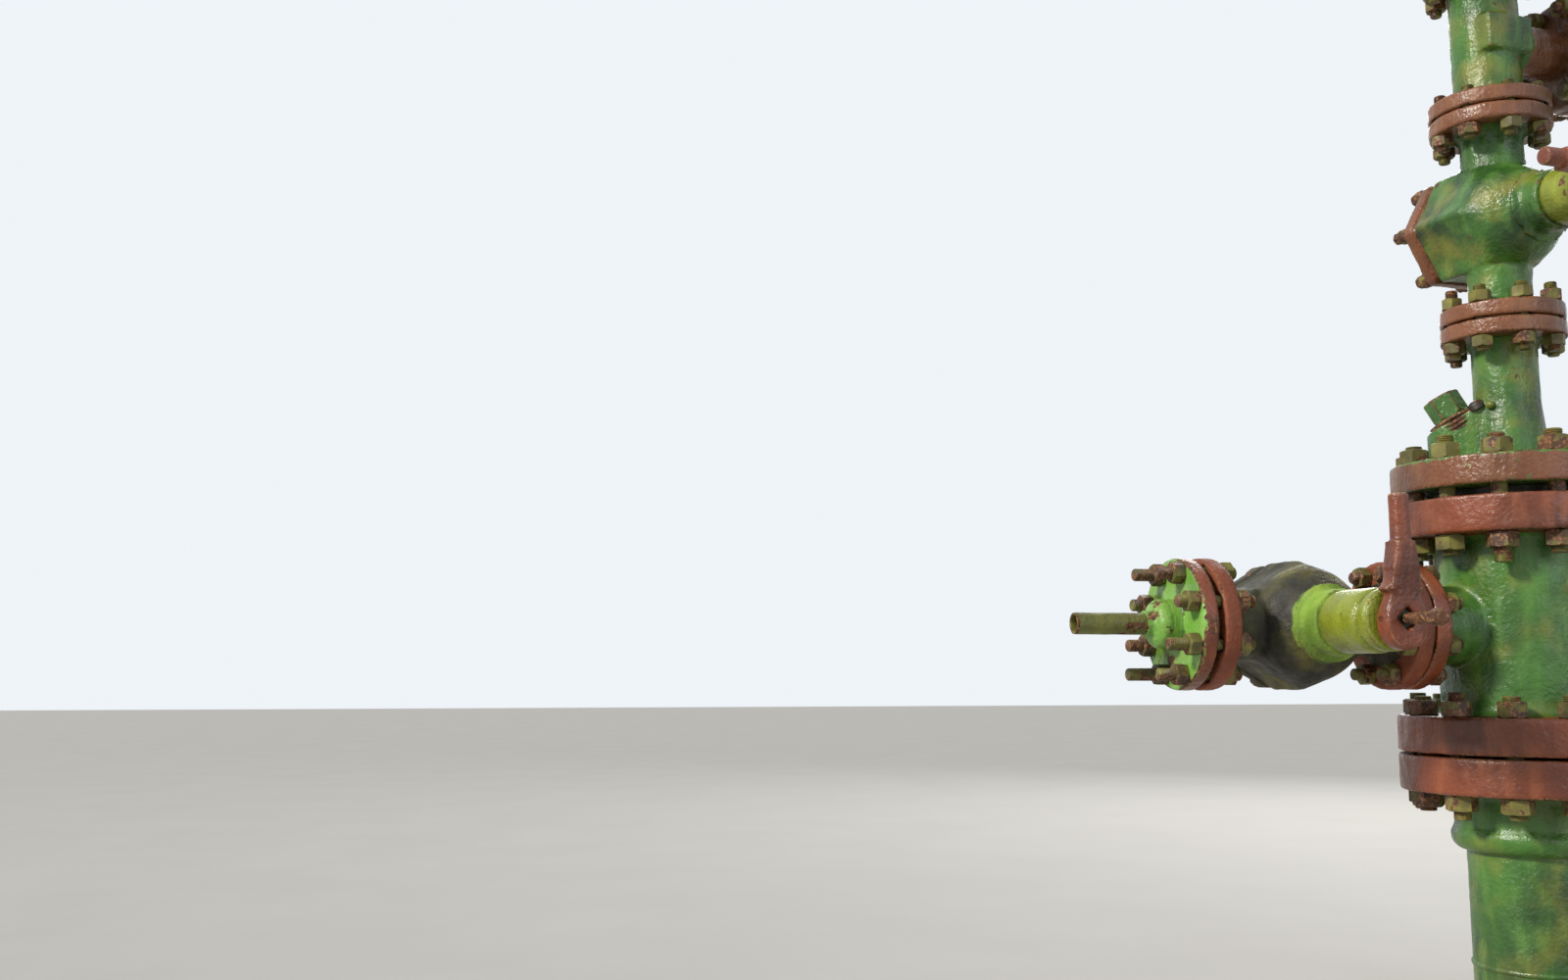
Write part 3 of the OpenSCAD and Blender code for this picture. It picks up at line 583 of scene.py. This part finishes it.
class Loops:
    """Collects closed loops of points into one mesh."""

    def __init__(self):
        self.verts = []
        self.faces = []

    def tube(self, loops, matrix, cap=True):
        n = len(loops[0])
        base = len(self.verts)
        for loop in loops:
            self.verts.extend(tuple(matrix @ Vector(p)) for p in loop)
        for k in range(len(loops) - 1):
            for j in range(n):
                a, b = base + k * n + j, base + k * n + (j + 1) % n
                self.faces.append((a, b, b + n, a + n))
        if cap:
            last = base + (len(loops) - 1) * n
            self.faces.append(tuple(range(base + n - 1, base - 1, -1)))
            self.faces.append(tuple(range(last, last + n)))

    def piece(self, name, body, material, replaced=None, sharp=30):
        mesh = bpy.data.meshes.new(name)
        mesh.from_pydata(self.verts, [], self.faces)
        mesh.update()
        mesh.polygons.foreach_set("use_smooth", [True] * len(mesh.polygons))
        mesh.set_sharp_from_angle(angle=math.radians(sharp))
        store(mesh, "curve", np.full(len(mesh.vertices), 0.5))
        ready(linked(name, mesh), body, material, replaced)


def on_circle(radii, heights):
    """One loop round Z, evenly spaced, with a radius and a height for each point."""
    n = len(radii)
    turns = [2 * math.pi * j / n for j in range(n)]
    return [(r * math.cos(t), r * math.sin(t), z) for r, t, z in zip(radii, turns, heights)]


def lathe(profile, n=24):
    return [on_circle([r] * n, [z] * n) for r, z in profile]


def thread(radius, low, high, pitch, chamfer=0.002, n=14):
    """Helical thread along +Z with a bevelled upper end."""
    depth = 0.6 * pitch
    steps = max(2, int((high - low) / (pitch / 4)))
    loops = []
    for k in range(steps + 1):
        z = low + (high - low) * k / steps
        bevel = radius - chamfer + (high - z)
        phases = [(z / pitch - j / n) % 1.0 for j in range(n)]
        loops.append(on_circle([min(radius - depth * abs(2 * p - 1), bevel) for p in phases], [z] * n))
    return loops


def hex_prism(width, low, high, hole=0.0, crown_low=True):
    """Hexagon with its corners turned off at 30 degrees, as on a nut."""
    flat = width / 2
    crown = 0.95 * flat
    n = 24
    corner = [flat / math.cos((j * 2 * math.pi / n) % SIXTH - SIXTH / 2) for j in range(n)]
    fall = [(r - crown) * math.tan(math.radians(30)) for r in corner]
    foot = [low + (f if crown_low else 0.0) for f in fall]
    loops = [on_circle([crown] * n, [low] * n), on_circle(corner, foot),
             on_circle(corner, [high - f for f in fall]), on_circle([crown] * n, [high] * n)]
    if hole:
        loops = [on_circle([hole] * n, [low] * n)] + loops + [on_circle([hole] * n, [high] * n)]
    return loops


# Studs: how many, on what circle, their diameter, their nut's width and the pitch of the thread
LOW_MAIN = (12, 0.318, 0.027, 0.041, 0.003)
UP_MAIN = (12, 0.304, 0.027, 0.041, 0.003)
TREE_SET = (8, 0.156, 0.020, 0.030, 0.0025)
SIDE_SET = (8, 0.164, 0.020, 0.030, 0.0025)


def stud_pair(name, matrix, studs, half, out_high, out_low, nuts_high=True):
    """Studs with nuts through one pair of flanges, whose joint is on z = 0."""
    count, circle, diameter, width, pitch = studs
    parts = Loops()
    core = diameter / 2 - 0.001
    nut_h = 0.9 * diameter
    hidden = 0.004
    for k in range(count):
        angle = (k + 0.5) * 2 * math.pi / count
        spot = matrix @ Matrix.Rotation(angle, 4, "Z") @ Matrix.Translation((circle / 2, 0, 0))
        flip = spot @ Matrix.Rotation(HALF_TURN, 4, "X")
        for end, outs, nut in ((spot, out_high, nuts_high), (flip, out_low, True)):
            spin = Matrix.Rotation(random.uniform(0, SIXTH), 4, "Z")
            seat = half + (nut_h if nut else 0.0)
            if nut:
                parts.tube(hex_prism(width, half, seat, core), end @ spin, cap=False)
            parts.tube(thread(diameter / 2, seat - hidden, seat + outs[k % len(outs)], pitch), end)
        parts.tube(lathe([(core, -half - 0.003), (core, half + 0.003)], 12), spot, cap=False)
    parts.piece(name, "root", "fastener")


MAIN_OUTS = [0.010, 0.006, 0.013, 0.008]
UNDER_OUTS = [0.008, 0.022, 0.010]
SMALL_OUTS = [0.009, 0.012, 0.007, 0.014, 0.010]
SMALL_UNDER_OUTS = [0.008, 0.005, 0.010]
END_OUTS = [0.030, 0.014, 0.023, 0.045, 0.026]
HALF_GASKET = 0.001
LOW_MAIN_GRIP, UP_MAIN_GRIP = 0.059, 0.060
grip = FLANGE_T + HALF_GASKET
up_main_mid = (UP_DISC_Z + PLATE_TOP_Z) / 2
stud_pair("lower_main_studs", place(0, LOW_JOINT_Z), LOW_MAIN, LOW_MAIN_GRIP, MAIN_OUTS, MAIN_OUTS)
stud_pair("upper_main_studs", place(0, up_main_mid), UP_MAIN, UP_MAIN_GRIP, MAIN_OUTS, UNDER_OUTS)
for name, face_z in (("adapter", ADAPTER_TOP_Z), ("tee", MASTER_Z + TREE_VALVE_HALF),
                     ("upper", TEE_Z + TEE_HALF), ("top", TOP_JOINT_Z)):
    stud_pair(f"{name}_studs", place(0, face_z + HALF_GASKET, TURN), TREE_SET, grip, SMALL_OUTS,
              SMALL_UNDER_OUTS, nuts_high=name != "tee")
stud_pair("wing_studs", TEE @ place(WING_FACE_X + HALF_GASKET, 0, 0, QUARTER), TREE_SET, grip, SMALL_OUTS,
          SMALL_OUTS)
end_grip = (FLANGE_T + BLIND_T + END_GAP) / 2
end_mid = END_FACE + BLIND_T - end_grip
for name, side in ENDS:
    outlet = place(side * (SIDE_FACE_X + HALF_GASKET), BRANCH_Z, 0, side * QUARTER)
    stud_pair(f"{name}_outlet_studs", outlet, SIDE_SET, grip, SMALL_OUTS, SMALL_OUTS)
    end = place(side * end_mid, BRANCH_Z, 0, side * QUARTER)
    stud_pair(f"{name}_end_studs", end, SIDE_SET, end_grip, END_OUTS, SMALL_OUTS)


# Cover bolts and grease screws
BOLT_W, BOLT_H = 0.019, 0.010
SCREW_R, SCREW_HEAD_W, SCREW_HEAD_H = 0.008, 0.0208, 0.022
BUTTON_R = 0.0095


def grease_screw():
    """Profile of the screw's shank, with a groove near the lever, as radius and height."""
    groove_r = 0.9 * SCREW_R
    groove = LEVER_FACE + 0.016
    return [(SCREW_R / 2, SQUARE_END), (SCREW_R, SQUARE_END + 0.007), (SCREW_R, groove),
            (groove_r, groove + 0.001), (groove_r, groove + 0.006), (SCREW_R, groove + 0.007),
            (SCREW_R, SCREW_END - SCREW_HEAD_H)]


for name, matrix in VALVES.items():
    cover = matrix @ Matrix.Rotation(-QUARTER, 4, "X")
    bolts = Loops()
    for k in range(6):
        spot = cover @ Matrix.Rotation(k * SIXTH, 4, "Z") @ Matrix.Translation((LOBE_R, 0, 0))
        spin = Matrix.Rotation(random.uniform(0, 1), 4, "Z")
        bolts.tube(hex_prism(BOLT_W, COVER_FACE, COVER_FACE + BOLT_H, crown_low=False), spot @ spin)
    bolts.piece(f"{name}_cover_bolts", "root", "rust")
    stem = matrix @ ALONG_STEM
    screw = Loops()
    screw.tube(lathe(grease_screw()), stem)
    screw.tube(hex_prism(SCREW_HEAD_W, SCREW_END - SCREW_HEAD_H, SCREW_END - 0.003), stem)
    button = [(BUTTON_R, SCREW_END - 0.004), (BUTTON_R, SCREW_END - 0.002), (0.007, SCREW_END)]
    screw.tube(lathe(button), stem)
    screw.piece(f"{name}_screw_detail", HANDLE_BODY.get(name, "root"), "rust",
                f"{name}_grease_screw")


# Small details

def bead(name, radius, z, material):
    """Weld bead round a pipe, with the ripples that the electrode leaves."""
    n = 120
    parts = Loops()
    loops = []
    section = ((-0.005, -0.001), (-0.003, 0.0018), (0.0, 0.0028), (0.003, 0.0018), (0.005, -0.001))
    for rise, out in section:
        radii = [radius + out + 0.0004 * noise.noise((j * 0.7, z, rise * 300)) for j in range(n)]
        heights = [z + rise + 0.0012 * noise.noise((j * 0.2, 5, z)) for j in range(n)]
        loops.append(on_circle(radii, heights))
    parts.tube(loops, AXIS, cap=False)
    parts.piece(name, "root", material, sharp=60)


def dome(name, matrix, radius, height, material):
    """Round-topped knob that stands on z = 0."""
    wall = 0.3
    turns = (0.4, 0.8, 1.2, 1.5)
    profile = [(radius, -0.004), (radius, wall * height)]
    profile += [(radius * math.cos(a), height * (wall + (1 - wall) * math.sin(a))) for a in turns]
    parts = Loops()
    parts.tube(lathe(profile, 20), matrix)
    parts.piece(name, "root", material, sharp=60)


# Domed hub of a blind flange, as radius and height in millimetres: a grooved foot, a dome and a rim
HUB_PROFILE = ((37, -2), (35.5, 8), (33, 12), (37, 17), (37.5, 23), (36, 29), (32, 34), (26, 38),
               (21, 39.5), (20, 43), (19.5, 48), (16, 49))
for name, side in ENDS:
    foot = place(0, BRANCH_Z, 0, side * QUARTER) @ Matrix.Translation((0, 0, END_FACE + BLIND_T))
    hub = Loops()
    hub.tube(lathe([(r / 1000, z / 1000) for r, z in HUB_PROFILE], 48), foot)
    hub.piece(f"{name}_end_hub", "root", "end_green", sharp=60)

CASING_WELD_Z = 0.075
bead("casing_weld", CASING_R, CASING_WELD_Z, "green")

# The port's boss leans out from the plate at the left rear
PORT_TURN, PORT_LEAN, PORT_X = math.radians(142), math.radians(27), 0.039
PORT_NECK_R, PORT_NECK_LOW, PORT_NECK_HIGH, PORT_PITCH = 0.0425, 0.068, 0.092, 0.0075
VENT_PLACE, VENT_R, VENT_H = (-0.038, 0.033, 0.085), 0.013, 0.012
LUMP_TURN, LUMP_X, LUMP_Z, LUMP_R, LUMP_H = math.radians(205), 0.052, 0.951, 0.007, 0.008
port = (Matrix.Rotation(PORT_TURN, 4, "Z") @ Matrix.Translation((PORT_X, 0, PLATE_TOP_Z))
        @ Matrix.Rotation(PORT_LEAN, 4, "Y"))
dome("port_vent", port @ Matrix.Translation(VENT_PLACE), VENT_R, VENT_H, "steel")
lump_side = (Matrix.Rotation(LUMP_TURN, 4, "Z") @ Matrix.Translation((LUMP_X, 0, LUMP_Z))
             @ Matrix.Rotation(QUARTER, 4, "Y"))
dome("port_lump", lump_side, LUMP_R, LUMP_H, "lime")
neck = Loops()
neck.tube(thread(PORT_NECK_R, PORT_NECK_LOW, PORT_NECK_HIGH, PORT_PITCH, chamfer=0.001, n=48), port)
neck.piece("port_plug_thread", "root", "rust")

# Set screw in the flat side of each lever's hub
SET_SCREW_PLACE = (0, -0.0331, 0.266)
SET_SCREW = [(0.0034, -0.004), (0.0034, 0.0006), (0.0026, 0.0006), (0.0026, -0.003)]
for name, matrix in VALVES.items():
    rim = matrix @ ALONG_STEM @ Matrix.Translation(SET_SCREW_PLACE) @ Matrix.Rotation(QUARTER, 4, "X")
    hole = Loops()
    hole.tube(lathe(SET_SCREW, 16), rim)
    hole.piece(f"{name}_set_screw", HANDLE_BODY.get(name, "root"), "steel")


# Studio

def lamp(name, kind, power, color):
    data = bpy.data.lights.new(name, kind)
    data.energy = power
    data.color = color
    return data, linked(name, data)


def area(name, spot, aim, size, power, color):
    data, obj = lamp(name, "AREA", power, color)
    data.size = size
    obj.location = spot
    obj.rotation_euler = (Vector(aim) - Vector(spot)).to_track_quat("-Z", "Y").to_euler()


SUN_AIM = Vector((4.0, 1.1, -2.6))
sun_data, sun = lamp("key", "SUN", 3.6, (1.0, 0.95, 0.86))
sun_data.angle = math.radians(9)
sun.rotation_euler = SUN_AIM.to_track_quat("-Z", "Y").to_euler()
area("fill", (0.8, -4.5, 1.8), (0, 0, 1.0), 3.0, 38, (0.85, 0.92, 1.0))
area("back", (2.5, 3.5, 3.0), (0, 0, 1.2), 2.0, 110, (1.0, 0.98, 0.95))


def sky(tree, color, strength):
    node = tree.nodes.new("ShaderNodeBackground")
    node.inputs["Color"].default_value = (*color, 1)
    node.inputs["Strength"].default_value = strength
    return node.outputs[0]


def studio_world():
    """Soft light on the object, and a plain pale backdrop for rays that see past it."""
    world = bpy.data.worlds.new("studio")
    SCENE.world = world
    world.use_nodes = True
    tree = world.node_tree
    tree.nodes.clear()
    path = tree.nodes.new("ShaderNodeLightPath")
    seen = path.outputs["Is Camera Ray"]
    for ray in ("Is Glossy Ray", "Is Transmission Ray"):
        either = tree.nodes.new("ShaderNodeMath")
        either.operation = "MAXIMUM"
        tree.links.new(seen, either.inputs[0])
        tree.links.new(path.outputs[ray], either.inputs[1])
        seen = either.outputs[0]
    blend = tree.nodes.new("ShaderNodeMixShader")
    tree.links.new(seen, blend.inputs[0])
    tree.links.new(sky(tree, (0.84, 0.90, 0.97), 0.42), blend.inputs[1])
    tree.links.new(sky(tree, (0.86, 0.90, 0.94), 1.0), blend.inputs[2])
    tree.links.new(blend.outputs[0], tree.nodes.new("ShaderNodeOutputWorld").inputs[0])


def studio_floor(reach):
    mesh = bpy.data.meshes.new("floor")
    corners = [(-reach, -reach, 0), (reach, -reach, 0), (reach, reach, 0), (-reach, reach, 0)]
    mesh.from_pydata(corners, [], [(0, 1, 2, 3)])
    look = Shade("pale_floor")
    tone = look.mix(look.noise(3, 3), (0.42, 0.41, 0.39), (0.47, 0.46, 0.44))
    mesh.materials.append(look.finish(tone, 0.8, look.bump(look.noise(40), 0.05, 0.002)))
    linked("floor", mesh)


studio_world()
SCENE.view_settings.view_transform = "Standard"
studio_floor(20.0)

# Camera, fitted to the photograph
cam_data = bpy.data.cameras.new("Camera")
cam_data.sensor_width = 36.0
cam_data.lens = 33.46
cam = linked("Camera", cam_data)
cam.location = (-1.617, -2.052, 0.526)
cam.rotation_euler = (math.radians(97.12), 0.0, math.radians(-11.5))
SCENE.camera = cam
